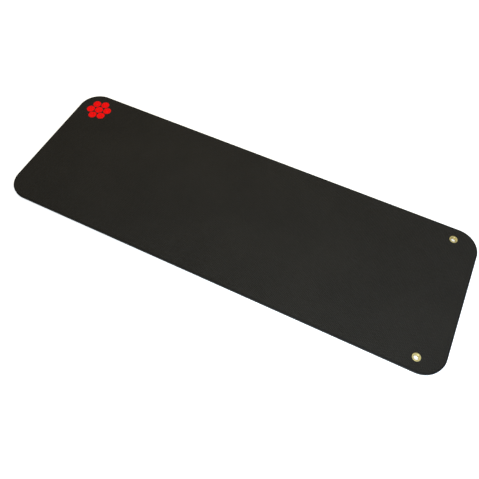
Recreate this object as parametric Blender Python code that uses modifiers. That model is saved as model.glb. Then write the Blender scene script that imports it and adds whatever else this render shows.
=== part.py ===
"""Exercise mat: a soft foam slab that hangs by two clinched brass eyelets.

Frame: +X along the length, towards the eyelets, +Y across, +Z up.
The origin is on the floor, under the middle of the slab. Units are metres.
"""

import math

import bmesh
import bpy

# Foam slab
MAT_LENGTH = 1.730
MAT_WIDTH = 0.600
MAT_THICKNESS = 0.0125
MAT_CORNER_RADIUS = 0.085
MAT_RIM_RADIUS = 0.0022

# Where the eyelets' centres are: in from the end of the slab, and in from its long sides
EYELET_INSET = 0.094
EYELET_MARGIN = 0.050

# Eyelet, pressed from one disc of brass sheet
EYELET_SHEET = 0.0007
BARREL_RADIUS = 0.0089
BARREL_TAPER = 0.00025
FUNNEL_BEND = 0.0014
FLANGE_FLAT = 0.0035
RIM_BEND = 0.0005
ROLL_BEND = 0.0008

# Neck washer, pressed from thinner brass sheet
WASHER_SHEET = 0.0006
WASHER_FLAT = 0.0032
NECK_BEND = 0.0013
NECK_REACH_SHARE = 0.4

# How deep the metal is pressed into the foam, above and below
FLANGE_SINK = 0.0008
ROLL_RECESS = 0.0006
FOAM_LIP_RADIUS = 0.0016

# Gap left between pieces that touch, and how far a cutter runs past a face
CLEARANCE = 0.0003
OVERRUN = 0.002

# Heights above the floor that the metal and the foam's seats share
FLANGE_TOP = MAT_THICKNESS - FLANGE_SINK
FLANGE_MIDDLE = FLANGE_TOP - EYELET_SHEET / 2
FLANGE_UNDERSIDE = FLANGE_TOP - EYELET_SHEET
RIM_BOTTOM = FLANGE_MIDDLE - RIM_BEND - EYELET_SHEET / 2
FUNNEL_BOTTOM = FLANGE_MIDDLE - FUNNEL_BEND
ROLL_CENTRE = ROLL_RECESS + EYELET_SHEET / 2 + ROLL_BEND
WASHER_UNDERSIDE = ROLL_CENTRE + EYELET_SHEET / 2 + CLEARANCE
WASHER_TOP = WASHER_UNDERSIDE + WASHER_SHEET
NECK_START = WASHER_UNDERSIDE + WASHER_SHEET / 2 + NECK_BEND
NECK_TOP = NECK_START + NECK_REACH_SHARE * (FUNNEL_BOTTOM - NECK_START)

# Radii that they share
BARREL_OUTSIDE = BARREL_RADIUS + EYELET_SHEET
FLANGE_RADIUS = BARREL_OUTSIDE + FUNNEL_BEND + FLANGE_FLAT + RIM_BEND
NECK_INSIDE = BARREL_OUTSIDE + CLEARANCE
NECK_OUTSIDE = NECK_INSIDE + WASHER_SHEET
WASHER_RADIUS = NECK_OUTSIDE + NECK_BEND + WASHER_FLAT
FOAM_BORE = NECK_OUTSIDE + CLEARANCE

# Smoothness: steps in a full turn, a quarter bend, a sheet's round edge and a corner
TURN_STEPS = 36
BEND_STEPS = 3
EDGE_STEPS = 4
CORNER_STEPS = 12
RIM_STEPS = 3
RIM_ANGLE = math.radians(60)
SHARP_ANGLE = math.radians(35)
WELD_DISTANCE = 0.00001

QUARTER = math.pi / 2

FOAM_COLOUR = (0.026, 0.024, 0.022, 1.0)
BRASS_COLOUR = (0.71, 0.50, 0.20, 1.0)


def clear_scene():
    for item in list(bpy.data.objects):
        bpy.data.objects.remove(item, do_unlink=True)


def make_collection(name):
    collection = bpy.data.collections.new(name)
    bpy.context.scene.collection.children.link(collection)
    return collection


def make_material(name, colour, metallic, roughness):
    material = bpy.data.materials.new(name)
    material.use_nodes = True
    shader = material.node_tree.nodes["Principled BSDF"]
    shader.inputs["Base Color"].default_value = colour
    shader.inputs["Metallic"].default_value = metallic
    shader.inputs["Roughness"].default_value = roughness
    return material


def foam_material():
    return make_material("closed_cell_foam", FOAM_COLOUR, metallic=0.0, roughness=0.75)


def brass_material():
    return make_material("pressed_brass", BRASS_COLOUR, metallic=1.0, roughness=0.28)


def arc(centre, radius, start, sweep, steps):
    """Points of a round stretch. start and sweep are angles from the first axis."""
    angles = [start + sweep * step / steps for step in range(steps + 1)]
    return [(centre[0] + radius * math.cos(a), centre[1] + radius * math.sin(a)) for a in angles]


def bend(centre, radius, start, sweep):
    """A sheet's bend in a turned profile, with its steps in keeping with its sweep."""
    return arc(centre, radius, start, sweep, round(BEND_STEPS * abs(sweep) / QUARTER))


def beside(path, distance):
    """The path moved to its left by the distance, or to its right where that is negative."""
    moved = []
    for index, (r, z) in enumerate(path):
        before = path[max(index - 1, 0)]
        after = path[min(index + 1, len(path) - 1)]
        dr = after[0] - before[0]
        dz = after[1] - before[1]
        step = math.hypot(dr, dz)
        moved.append((r - dz / step * distance, z + dr / step * distance))
    return moved


def round_edge(before, end, half_sheet):
    """Points round the edge of a sheet, without the two where its faces begin."""
    heading = math.atan2(end[1] - before[1], end[0] - before[0])
    return arc(end, half_sheet, heading + QUARTER, -2 * QUARTER, EDGE_STEPS)[1:-1]


def sheet_profile(midline, sheet):
    """Closed profile of bent sheet metal, from the line along the middle of the sheet."""
    profile = beside(midline, sheet / 2)
    profile += round_edge(midline[-2], midline[-1], sheet / 2)
    profile += reversed(beside(midline, -sheet / 2))
    profile += round_edge(midline[1], midline[0], sheet / 2)
    return profile


def eyelet_midline():
    """From the flange's turned-down rim, over the funnel and the barrel, round the rolled end."""
    barrel_top = BARREL_RADIUS + EYELET_SHEET / 2
    barrel_end = barrel_top - BARREL_TAPER
    rim_centre = (FLANGE_RADIUS - EYELET_SHEET / 2 - RIM_BEND, FLANGE_MIDDLE - RIM_BEND)
    midline = bend(rim_centre, RIM_BEND, 0, QUARTER)
    midline += bend((barrel_top + FUNNEL_BEND, FUNNEL_BOTTOM), FUNNEL_BEND, QUARTER, QUARTER)
    midline += bend((barrel_end + ROLL_BEND, ROLL_CENTRE), ROLL_BEND, 2 * QUARTER, 2 * QUARTER)
    return midline


def washer_midline():
    """From the washer's outer edge, in along its plate, up to the end of its neck."""
    plate_z = WASHER_UNDERSIDE + WASHER_SHEET / 2
    neck_r = NECK_INSIDE + WASHER_SHEET / 2
    midline = [(WASHER_RADIUS - WASHER_SHEET / 2, plate_z)]
    midline += bend((neck_r + NECK_BEND, NECK_START), NECK_BEND, -QUARTER, -QUARTER)
    midline.append((neck_r, NECK_TOP))
    return midline


def upper_seat():
    """Where the flange is pressed in: a round lip, a groove for its rim, and its land."""
    seat_r = FLANGE_RADIUS + CLEARANCE
    groove_r = FLANGE_RADIUS - EYELET_SHEET - RIM_BEND
    land_z = FLANGE_UNDERSIDE - CLEARANCE
    lip_centre = (seat_r + FOAM_LIP_RADIUS, MAT_THICKNESS - FOAM_LIP_RADIUS)
    profile = bend(lip_centre, FOAM_LIP_RADIUS, QUARTER, QUARTER)
    profile.append((seat_r, RIM_BOTTOM - CLEARANCE))
    profile.append((groove_r, RIM_BOTTOM - CLEARANCE))
    profile.append((groove_r, land_z))
    profile.append((BARREL_OUTSIDE + FUNNEL_BEND, land_z))
    profile.append((FOAM_BORE, FUNNEL_BOTTOM))
    return profile


def lower_seat():
    """Where the washer is pressed in: a flare round its neck, its land, and a round lip."""
    seat_r = WASHER_RADIUS + CLEARANCE
    land_z = WASHER_TOP + CLEARANCE
    lip_centre = (seat_r + FOAM_LIP_RADIUS, FOAM_LIP_RADIUS)
    profile = [(FOAM_BORE, land_z + NECK_BEND), (FOAM_BORE + NECK_BEND, land_z), (seat_r, land_z)]
    profile += bend(lip_centre, FOAM_LIP_RADIUS, 2 * QUARTER, QUARTER)
    return profile


def seat_profile():
    """All that an eyelet and its washer press out of the foam, from above it to below it."""
    upper = upper_seat()
    lower = lower_seat()
    above = MAT_THICKNESS + OVERRUN
    profile = [(0, above), (upper[0][0], above)]
    profile += upper + lower
    profile += [(lower[-1][0], -OVERRUN), (0, -OVERRUN)]
    return profile


def turn(name, profile, closed, collection):
    """Turn a profile of (radius, height) points round its object's Z axis."""
    edges = [(index, index + 1) for index in range(len(profile) - 1)]
    if closed:
        edges.append((len(profile) - 1, 0))
    mesh = bpy.data.meshes.new(name)
    mesh.from_pydata([(r, 0, z) for r, z in profile], edges, [])
    item = bpy.data.objects.new(name, mesh)
    collection.objects.link(item)
    screw = item.modifiers.new("turn", "SCREW")
    screw.steps = TURN_STEPS
    screw.render_steps = TURN_STEPS
    screw.use_smooth_shade = True
    screw.use_merge_vertices = True
    screw.merge_threshold = WELD_DISTANCE
    return item


def corner_outline(length, width, radius):
    """Points of a rectangle with round corners, anticlockwise round the origin."""
    points = []
    for quarter, (side_x, side_y) in enumerate(((1, 1), (-1, 1), (-1, -1), (1, -1))):
        centre = (side_x * (length / 2 - radius), side_y * (width / 2 - radius))
        points += arc(centre, radius, quarter * QUARTER, QUARTER, CORNER_STEPS)
    return points


def slab_curve(collection):
    curve = bpy.data.curves.new("slab_outline", "CURVE")
    curve.dimensions = "2D"
    curve.fill_mode = "BOTH"
    curve.extrude = MAT_THICKNESS / 2
    points = corner_outline(MAT_LENGTH, MAT_WIDTH, MAT_CORNER_RADIUS)
    spline = curve.splines.new("POLY")
    spline.points.add(len(points) - 1)
    for point, (x, y) in zip(spline.points, points):
        point.co = (x, y, 0, 1)
    spline.use_cyclic_u = True
    item = bpy.data.objects.new("slab_outline", curve)
    item.location = (0, 0, MAT_THICKNESS / 2)
    collection.objects.link(item)
    return item


def as_mesh(name, curve_item, collection):
    """The curve's solid as a mesh with its caps welded on, in the curve's place."""
    bpy.context.view_layer.update()
    evaluated = curve_item.evaluated_get(bpy.context.evaluated_depsgraph_get())
    mesh = bpy.data.meshes.new_from_object(evaluated)
    mesh.name = name
    shape = bmesh.new()
    shape.from_mesh(mesh)
    bmesh.ops.remove_doubles(shape, verts=shape.verts, dist=WELD_DISTANCE)
    shape.to_mesh(mesh)
    shape.free()
    item = bpy.data.objects.new(name, mesh)
    item.matrix_world = curve_item.matrix_world.copy()
    collection.objects.link(item)
    bpy.data.objects.remove(curve_item, do_unlink=True)
    return item


def build_slab(collection):
    slab = as_mesh("foam_mat", slab_curve(collection), collection)
    slab.data.shade_smooth()
    slab.data.set_sharp_from_angle(angle=SHARP_ANGLE)
    slab.data.materials.append(foam_material())
    rim = slab.modifiers.new("round_rim", "BEVEL")
    rim.width = min(MAT_RIM_RADIUS, MAT_THICKNESS / 2 - CLEARANCE)
    rim.segments = RIM_STEPS
    rim.limit_method = "ANGLE"
    rim.angle_limit = RIM_ANGLE
    return slab


def cut_seat(slab, side, place, cutters):
    cutter = turn("seat_cutter_" + side, seat_profile(), False, cutters)
    cutter.location = place
    cutter.hide_render = True
    cutter.display_type = "WIRE"
    cut = slab.modifiers.new("seat_" + side, "BOOLEAN")
    cut.operation = "DIFFERENCE"
    cut.solver = "EXACT"
    cut.object = cutter


def build_eyelet(side, place, brass, collection):
    """The eyelet, and the washer that its end is rolled over."""
    eyelet = turn("eyelet_" + side, sheet_profile(eyelet_midline(), EYELET_SHEET), True, collection)
    washer = turn("washer_" + side, sheet_profile(washer_midline(), WASHER_SHEET), True, collection)
    for item in (eyelet, washer):
        item.location = place
        item.data.materials.append(brass)


def build_mat():
    clear_scene()
    parts = make_collection("exercise_mat")
    cutters = make_collection("cutters")
    slab = build_slab(parts)
    brass = brass_material()
    eyelet_x = MAT_LENGTH / 2 - EYELET_INSET
    eyelet_y = MAT_WIDTH / 2 - EYELET_MARGIN
    for side, direction in (("far", 1), ("near", -1)):
        place = (eyelet_x, direction * eyelet_y, 0)
        cut_seat(slab, side, place, cutters)
        build_eyelet(side, place, brass, parts)


build_mat()
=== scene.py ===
# %% [markdown]
# # A hanging exercise mat of bumpy foam
#
# The mat is one slab of soft closed-cell foam, 1.73 m long and 12.5 mm thick. Its upper side is a field
# of small round bumps, and near one end two brass eyelets let it hang from a wall rail. This lesson
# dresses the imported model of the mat: real bumps on the foam, turned brass with draw lines, a printed
# patch, and a bright studio. All sizes are in metres.

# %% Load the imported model
import math

import bmesh
import bpy
import numpy as np
from mathutils import Matrix, Vector
from mathutils.geometry import delaunay_2d_cdt


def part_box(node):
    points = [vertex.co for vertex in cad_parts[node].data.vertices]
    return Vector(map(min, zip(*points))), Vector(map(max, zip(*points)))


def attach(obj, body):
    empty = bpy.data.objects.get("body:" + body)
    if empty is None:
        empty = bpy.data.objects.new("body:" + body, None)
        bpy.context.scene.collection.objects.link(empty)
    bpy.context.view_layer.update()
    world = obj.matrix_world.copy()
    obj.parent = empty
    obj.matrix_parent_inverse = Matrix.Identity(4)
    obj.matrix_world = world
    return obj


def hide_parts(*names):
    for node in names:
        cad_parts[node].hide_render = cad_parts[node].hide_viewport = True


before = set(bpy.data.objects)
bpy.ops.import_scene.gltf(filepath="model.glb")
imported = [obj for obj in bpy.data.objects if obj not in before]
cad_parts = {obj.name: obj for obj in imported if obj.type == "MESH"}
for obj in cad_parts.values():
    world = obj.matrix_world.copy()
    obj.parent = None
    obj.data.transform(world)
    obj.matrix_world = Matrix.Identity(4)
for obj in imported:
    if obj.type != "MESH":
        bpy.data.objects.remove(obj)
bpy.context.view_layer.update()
print("nodes:", sorted(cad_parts))

# %% [markdown]
# ## Sizes
#
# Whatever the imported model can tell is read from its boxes, so that the new pieces land exactly where
# the solids are. The few sizes that a box can't tell, such as the corner radius and the bends of the
# brass, are written here once.

# %% Sizes of the foam and of the metal
MM = 0.001
slab_low, slab_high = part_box("foam_mat")
LENGTH, WIDTH, THICKNESS = slab_high - slab_low
CORNER_RADIUS = 85 * MM
RIM_RADIUS = 2.2 * MM
INNER_X, INNER_Y = LENGTH / 2 - CORNER_RADIUS, WIDTH / 2 - CORNER_RADIUS

eyelet_low, eyelet_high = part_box("eyelet_far")
washer_low, washer_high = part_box("washer_far")
EYELET_X = (eyelet_low.x + eyelet_high.x) / 2
EYELET_Y = (eyelet_low.y + eyelet_high.y) / 2
FLANGE_RADIUS = (eyelet_high.y - eyelet_low.y) / 2
WASHER_RADIUS = (washer_high.y - washer_low.y) / 2
FLANGE_TOP = eyelet_high.z
print("eyelets at x %.1f and y +-%.1f mm" % (EYELET_X / MM, EYELET_Y / MM))
print("flange radius %.2f mm, top at %.2f mm" % (FLANGE_RADIUS / MM, FLANGE_TOP / MM))

# %% [markdown]
# ## Camera
#
# The picture looks down on the mat from in front of its long side, a little to the right of its
# middle, with the eyelets' end towards the lower right corner. A camera is easiest to place by three
# facts: where it stands, which way it looks, and which way is up in the picture. Those give the three
# columns of its rotation. The lens is in millimetres on a 36 mm wide sensor, for a square picture.
# Every new object has to be linked to the scene, so one small helper makes and links them all.

# %% Camera
CAMERA_PLACE = Vector((0.4743, -0.9992, 1.6430))
CAMERA_FORWARD = Vector((-0.2180, 0.4701, -0.8553)).normalized()
CAMERA_UP = Vector((-0.3786, 0.7670, 0.5181))
SENSOR_MM, LENS_MM = 36.0, 38.84
NEAREST_SEEN, FARTHEST_SEEN = 0.02, 50.0


def new_object(name, data):
    """An object in the scene, at the origin."""
    thing = bpy.data.objects.new(name, data)
    bpy.context.scene.collection.objects.link(thing)
    return thing


def make_camera(place, forward, up):
    right = forward.cross(up).normalized()
    true_up = right.cross(forward)
    turn = Matrix((right, true_up, -forward)).transposed()
    camera = new_object("camera", bpy.data.cameras.new("camera"))
    camera.data.sensor_width = SENSOR_MM
    camera.data.lens = LENS_MM
    camera.data.clip_start = NEAREST_SEEN
    camera.data.clip_end = FARTHEST_SEEN
    camera.matrix_world = Matrix.Translation(place) @ turn.to_4x4()
    bpy.context.scene.camera = camera


make_camera(CAMERA_PLACE, CAMERA_FORWARD, CAMERA_UP)
print("camera at", tuple(round(part, 3) for part in CAMERA_PLACE), "lens", LENS_MM)

# %% [markdown]
# ## Arithmetic on sockets
#
# Both materials and Geometry Nodes are trees of small nodes. Written out one by one they hide the sum
# that they stand for, so a small class wraps a socket and lets Python's own signs add the Math nodes:
# `1 - mask * 0.3` then reads as what it is. Every other node comes from one method, which takes the
# node's type, its settings, and the values or links of its sockets.

# %% Sockets that do sums
class Wire:
    """An output of a node, which can stand in a sum."""

    def __init__(self, graph, socket):
        self.graph = graph
        self.socket = socket

    def math(self, operation, *others, reflected=False):
        """A Math node on this value and others. Reflected, this value comes last, as in 1 - wire."""
        values = (*others, self) if reflected else (self, *others)
        return self.graph.node("ShaderNodeMath", {"operation": operation}, values)

    def __add__(self, other):
        return self.math("ADD", other)

    def __sub__(self, other):
        return self.math("SUBTRACT", other)

    def __rsub__(self, other):
        return self.math("SUBTRACT", other, reflected=True)

    def __mul__(self, other):
        return self.math("MULTIPLY", other)

    def __truediv__(self, other):
        return self.math("DIVIDE", other)

    def __rtruediv__(self, other):
        return self.math("DIVIDE", other, reflected=True)

    def __pow__(self, other):
        return self.math("POWER", other)

    def __abs__(self):
        return self.math("ABSOLUTE")

    __radd__ = __add__
    __rmul__ = __mul__


print("a Wire can stand in a sum")


# %% Trees built by one method
class Graph:
    """A node tree to which nodes are added in the order of the sum that they stand for."""

    def __init__(self, tree):
        self.tree = tree
        tree.nodes.clear()

    def node(self, kind, settings=None, inputs=(), take=0):
        """A new node's output. Inputs go by position, or by name where they are a dictionary."""
        node = self.tree.nodes.new(kind)
        for name, value in (settings or {}).items():
            setattr(node, name, value)
        pairs = inputs.items() if isinstance(inputs, dict) else enumerate(inputs)
        for key, value in pairs:
            if isinstance(value, Wire):
                self.tree.links.new(value.socket, node.inputs[key])
            elif value is not None:
                node.inputs[key].default_value = value
        return Wire(self, node.outputs[take]) if len(node.outputs) else node

    def split(self, vector):
        """The three numbers of a vector."""
        first = self.node("ShaderNodeSeparateXYZ", {}, (vector,))
        return [Wire(self, socket) for socket in first.socket.node.outputs]

    def vector(self, x, y, z=0.0):
        return self.node("ShaderNodeCombineXYZ", {}, (x, y, z))

    def along(self, operation, *values, take=0):
        """Vector arithmetic."""
        return self.node("ShaderNodeVectorMath", {"operation": operation}, values, take)

    def length(self, vector):
        return self.along("LENGTH", vector, take="Value")

    def scaled(self, vector, factor):
        return self.along("SCALE", vector, None, None, factor)

    def smooth(self, value, low, high, start=0.0, end=1.0):
        """From start to end, gently, as the value goes from low to high."""
        settings = {"interpolation_type": "SMOOTHSTEP"}
        return self.node("ShaderNodeMapRange", settings, (value, low, high, start, end))

    def mix(self, share, first, second):
        """A colour between two others."""
        settings = {"data_type": "RGBA"}
        inputs = (share, None, None, None, None, None, first, second)
        return self.node("ShaderNodeMix", settings, inputs, 2)

    def noise(self, place, scale, detail=2.0, roughness=0.5, take=0):
        inputs = {"Vector": place, "Scale": scale, "Detail": detail, "Roughness": roughness}
        return self.node("ShaderNodeTexNoise", {}, inputs, take)

    def grain(self, height, distance):
        """The normal of a surface that is as rough as the height says."""
        inputs = {"Strength": 0.5, "Distance": distance, "Height": height}
        return self.node("ShaderNodeBump", {}, inputs)

    def surface(self, sockets):
        """Ends a material's tree in one shader."""
        shader = self.node("ShaderNodeBsdfPrincipled", {}, sockets)
        self.node("ShaderNodeOutputMaterial", {}, {"Surface": shader})


print("a Graph can add any node")

# %% [markdown]
# ## One bump
#
# Seen close, the foam is a honeycomb of round domes that touch each other along sharp valleys, about
# 6 mm from one to the next and 2 mm high. There are some 33 000 of them, so one bump may have only a
# few dozen faces: a centre, two rings of six points on the dome, and a border of twelve points that it
# shares with its neighbours, 36 triangles in all. The tile is flat at first. Each point only remembers
# how far it will drop, and the border's edges remember that they are a valley, which keeps them sharp.

# %% Tile of one bump, for a spacing of 1
CROWN_REACH, CROWN_DROP = 0.20, 0.11
SHOULDER_REACH, SHOULDER_DROP = 0.383, 0.46
MIDDLE_DROP, CORNER_DROP = 1.0, 1.18
FIRST_CROWN, FIRST_SHOULDER, FIRST_BORDER = 1, 7, 13


def ring_of(count, first_angle, reach):
    turns = [math.radians(first_angle) + 2 * math.pi * step / count for step in range(count)]
    return [(reach * math.cos(a), reach * math.sin(a), 0.0) for a in turns]


def bump_tile():
    """A flat hexagon that meets its neighbours edge to edge, with its points' drops."""
    corners = ring_of(6, 0, 1 / math.sqrt(3))
    middles = ring_of(6, 30, 0.5)
    border = [point for pair in zip(corners, middles) for point in pair]
    points = [(0.0, 0.0, 0.0)] + ring_of(6, 0, CROWN_REACH) + ring_of(6, 30, SHOULDER_REACH) + border
    drops = [0.0] + [CROWN_DROP] * 6 + [SHOULDER_DROP] * 6 + [CORNER_DROP, MIDDLE_DROP] * 6
    faces = []
    for step in range(6):
        after = (step + 1) % 6
        crown, next_crown = FIRST_CROWN + step, FIRST_CROWN + after
        shoulder, next_shoulder = FIRST_SHOULDER + step, FIRST_SHOULDER + after
        steps = [(2 * step + 1 + more) % 12 for more in range(3)]
        middle, corner, next_middle = [FIRST_BORDER + place for place in steps]
        faces += [(0, crown, next_crown), (crown, shoulder, next_crown)]
        faces += [(shoulder, next_shoulder, next_crown), (shoulder, middle, corner)]
        faces += [(shoulder, corner, next_shoulder), (next_shoulder, corner, next_middle)]
    mesh = bpy.data.meshes.new("bump_tile")
    mesh.from_pydata(points, [], faces)
    drop = mesh.attributes.new("drop", "FLOAT", "POINT")
    drop.data.foreach_set("value", drops)
    valley = mesh.attributes.new("valley", "BOOLEAN", "EDGE")
    valley.data.foreach_set("value", [min(edge.vertices) >= FIRST_BORDER for edge in mesh.edges])
    return new_object("bump_tile", mesh)


tile = bump_tile()
print("one bump:", len(tile.data.vertices), "points,", len(tile.data.polygons), "triangles")

# %% [markdown]
# ## The field of bumps
#
# Geometry Nodes lay the field. A grid of points, every other column half a step on, is a honeycomb of
# places. Each place gets a tile, the tiles become one sheet, and points that lie on each other are
# welded. Then the sheet is trimmed: faces wholly outside the mat's outline or wholly inside an
# eyelet's seat go, and the points that still stick out are drawn back onto the border. Last, each
# point drops to its height. Towards the rim the bumps flatten, as they do where foam is cut, and round
# an eyelet they are squeezed against the flange.

# %% Sizes of the field
PITCH = 6.0 * MM
BUMP_HEIGHT = 2.0 * MM
SEAT_GAP = 0.3 * MM
SEAT_RADIUS = FLANGE_RADIUS + SEAT_GAP
COLUMN_STEP = PITCH * math.sqrt(3) / 2
TILE_WELD = 0.02
WANDER_SCALE = 45.0
CHANCE_SEED = 7

FIELD = {
    "Length": LENGTH,
    "Width": WIDTH,
    "Thickness": THICKNESS,
    "Corner radius": CORNER_RADIUS,
    "Rim radius": RIM_RADIUS,
    "Pitch": PITCH,
    "Bump height": BUMP_HEIGHT,
    "Unevenness": 0.22 * MM,
    "Wander": 0.5 * MM,
    "Eyelet X": EYELET_X,
    "Eyelet Y": EYELET_Y,
    "Seat radius": SEAT_RADIUS,
    "Flange top": FLANGE_TOP,
    "Columns": 2 * math.ceil(LENGTH / COLUMN_STEP / 2) + 3,
    "Rows": 2 * math.ceil(WIDTH / PITCH / 2) + 3,
}
print("places:", FIELD["Columns"], "x", FIELD["Rows"], "=", FIELD["Columns"] * FIELD["Rows"])

# %% Named inputs of a tree
def tree_inputs(graph, sizes):
    """Adds a named input for each size, and gives their wires by name."""
    interface = graph.tree.interface
    for name, value in sizes.items():
        kind = "NodeSocketInt" if isinstance(value, int) else "NodeSocketFloat"
        interface.new_socket(name=name, in_out="INPUT", socket_type=kind).default_value = value
    interface.new_socket(name="Geometry", in_out="OUTPUT", socket_type="NodeSocketGeometry")
    return {name: graph.node("NodeGroupInput", take=name) for name in sizes}


def remember(graph, geometry, name, kind, domain, value):
    """Stores a value on each point, edge or copy, under a name."""
    settings = {"data_type": kind, "domain": domain}
    inputs = {"Geometry": geometry, "Name": name, "Value": value}
    return graph.node("GeometryNodeStoreNamedAttribute", settings, inputs)


def recall(graph, name, kind):
    """A value that was stored under a name."""
    return graph.node("GeometryNodeInputNamedAttribute", {"data_type": kind}, {"Name": name})


def weld(graph, geometry, distance):
    return graph.node("GeometryNodeMergeByDistance", {}, {"Geometry": geometry, "Distance": distance})


def moved(graph, geometry, **inputs):
    """Points moved by an Offset, or to a Position, where a Selection may narrow which."""
    return graph.node("GeometryNodeSetPosition", {}, {"Geometry": geometry, **inputs})


def place_of(graph):
    return graph.node("GeometryNodeInputPosition")


print("tree helpers are ready")


# %% Honeycomb of tiles
def honeycomb(graph, given):
    """One welded sheet of flat tiles, which wanders a little as moulded foam does."""
    column_step = given["Pitch"] * (math.sqrt(3) / 2)
    grid = graph.node("GeometryNodeMeshGrid", {}, {
        "Size X": (given["Columns"] - 1) * column_step,
        "Size Y": (given["Rows"] - 1) * given["Pitch"],
        "Vertices X": given["Columns"],
        "Vertices Y": given["Rows"],
    })
    x, _, _ = graph.split(place_of(graph))
    odd = abs((x / column_step).math("ROUND")).math("MODULO", 2.0)
    shift = graph.vector(0.0, odd * given["Pitch"] * 0.5)
    places = moved(graph, grid, Offset=shift)
    shape = graph.node("GeometryNodeObjectInfo", {}, {"Object": tile}, "Geometry")
    size = graph.vector(given["Pitch"], given["Pitch"], given["Pitch"])
    copies = graph.node("GeometryNodeInstanceOnPoints", {}, {
        "Points": places, "Instance": shape, "Scale": size,
    })
    seed = {"Seed": CHANCE_SEED}
    chance = graph.node("FunctionNodeRandomValue", {"data_type": "FLOAT"}, seed, 1)
    copies = remember(graph, copies, "chance", "FLOAT", "INSTANCE", chance)
    sheet = graph.node("GeometryNodeRealizeInstances", {}, (copies,))
    sheet = weld(graph, sheet, given["Pitch"] * TILE_WELD)
    cloud = graph.noise(place_of(graph), WANDER_SCALE, detail=1.0, take="Color")
    away = graph.along("SUBTRACT", cloud, (0.5, 0.5, 0.5))
    away = graph.along("MULTIPLY", away, graph.vector(given["Wander"], given["Wander"]))
    return moved(graph, sheet, Offset=away)


print("honeycomb of %d tiles, %.1f mm apart" % (FIELD["Columns"] * FIELD["Rows"], PITCH / MM))

# %% [markdown]
# The mat's outline is a rectangle with round corners. The nearest point on such an outline comes from
# its inner rectangle, the one through the centres of the four corners: a point's step away from that
# rectangle, cut or stretched to the corner radius, ends on the outline. An eyelet's seat is a circle,
# and because the two eyelets mirror each other, one formula on the absolute value of Y serves both.
# The materials use both formulas too, with plain sizes where the tree gives its inputs.

# %% Trimming
WELD_DISTANCE = 0.05 * MM
SHORTEST_STEP = 0.1 * MM


def outline_step(graph, given, place):
    """The inner rectangle's nearest point in the first quarter, the step from it, and its length."""
    x, y, _ = graph.split(place)
    folded = graph.vector(abs(x), abs(y))
    inner_x = given["Length"] * 0.5 - given["Corner radius"]
    inner_y = given["Width"] * 0.5 - given["Corner radius"]
    inner = graph.along("MINIMUM", folded, graph.vector(inner_x, inner_y))
    step = graph.along("SUBTRACT", folded, inner)
    return inner, step, graph.length(step)


def eyelet_step(graph, given, place):
    """The step from the nearer eyelet's axis, with Y folded, and its length."""
    x, y, _ = graph.split(place)
    step = graph.vector(x - given["Eyelet X"], abs(y) - given["Eyelet Y"])
    return step, graph.length(step)


def unfolded(graph, point, whole):
    """A point worked out in the first quarter, or the upper half, put back where it belongs."""
    x, y, _ = graph.split(place_of(graph))
    new_x, new_y, _ = graph.split(point)
    sign_x = x.math("SIGN") if whole else 1.0
    return graph.vector(new_x * sign_x, new_y * y.math("SIGN"))


def drawn_back(graph, sheet, outside, point):
    """Trims faces that lie wholly outside, then moves what still sticks out to the point."""
    sheet = remember(graph, sheet, "outside", "BOOLEAN", "POINT", outside)
    gone = recall(graph, "outside", "BOOLEAN")
    sheet = graph.node("GeometryNodeDeleteGeometry", {"domain": "FACE", "mode": "ALL"}, {
        "Geometry": sheet, "Selection": gone,
    })
    return weld(graph, moved(graph, sheet, Selection=gone, Position=point), WELD_DISTANCE)


def trimmed(graph, given, sheet):
    reach = given["Corner radius"] - given["Rim radius"]
    inner, step, length = outline_step(graph, given, place_of(graph))
    on_outline = graph.along("ADD", inner, graph.scaled(step, reach / length))
    outside = length.math("GREATER_THAN", reach)
    sheet = drawn_back(graph, sheet, outside, unfolded(graph, on_outline, True))
    step, length = eyelet_step(graph, given, place_of(graph))
    centre = graph.vector(given["Eyelet X"], given["Eyelet Y"])
    share = given["Seat radius"] / length.math("MAXIMUM", SHORTEST_STEP)
    on_seat = graph.along("ADD", centre, graph.scaled(step, share))
    outside = length.math("LESS_THAN", given["Seat radius"])
    return drawn_back(graph, sheet, outside, unfolded(graph, on_seat, False))


print("trimmed %.1f mm inside the outline, and to seats %.1f mm wide" % (
    RIM_RADIUS / MM, 2 * SEAT_RADIUS / MM))

# %% [markdown]
# Each point's height starts at the top of the slab. The drop into the valleys is weaker near the rim
# and the eyelets. The tops differ a little from bump to bump, and the whole skin turns down over the
# last few millimetres before a seat, where the flange holds it under. The eyelet sits a little askew:
# on the side of the mat's end it leaves the foam higher, and the bumps there bulge over its edge.

# %% Heights
RIM_FADE, RIM_RELIEF = 7 * MM, 0.25
SEAT_FADE, SEAT_SQUEEZE = 6.5 * MM, 0.3
SEAT_DIP, SEAT_LEAN = 0.65 * MM, 0.45
BULGE = 0.9 * MM
BULGE_FROM, BULGE_FULL = -0.1 * MM, 0.5 * MM


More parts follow.
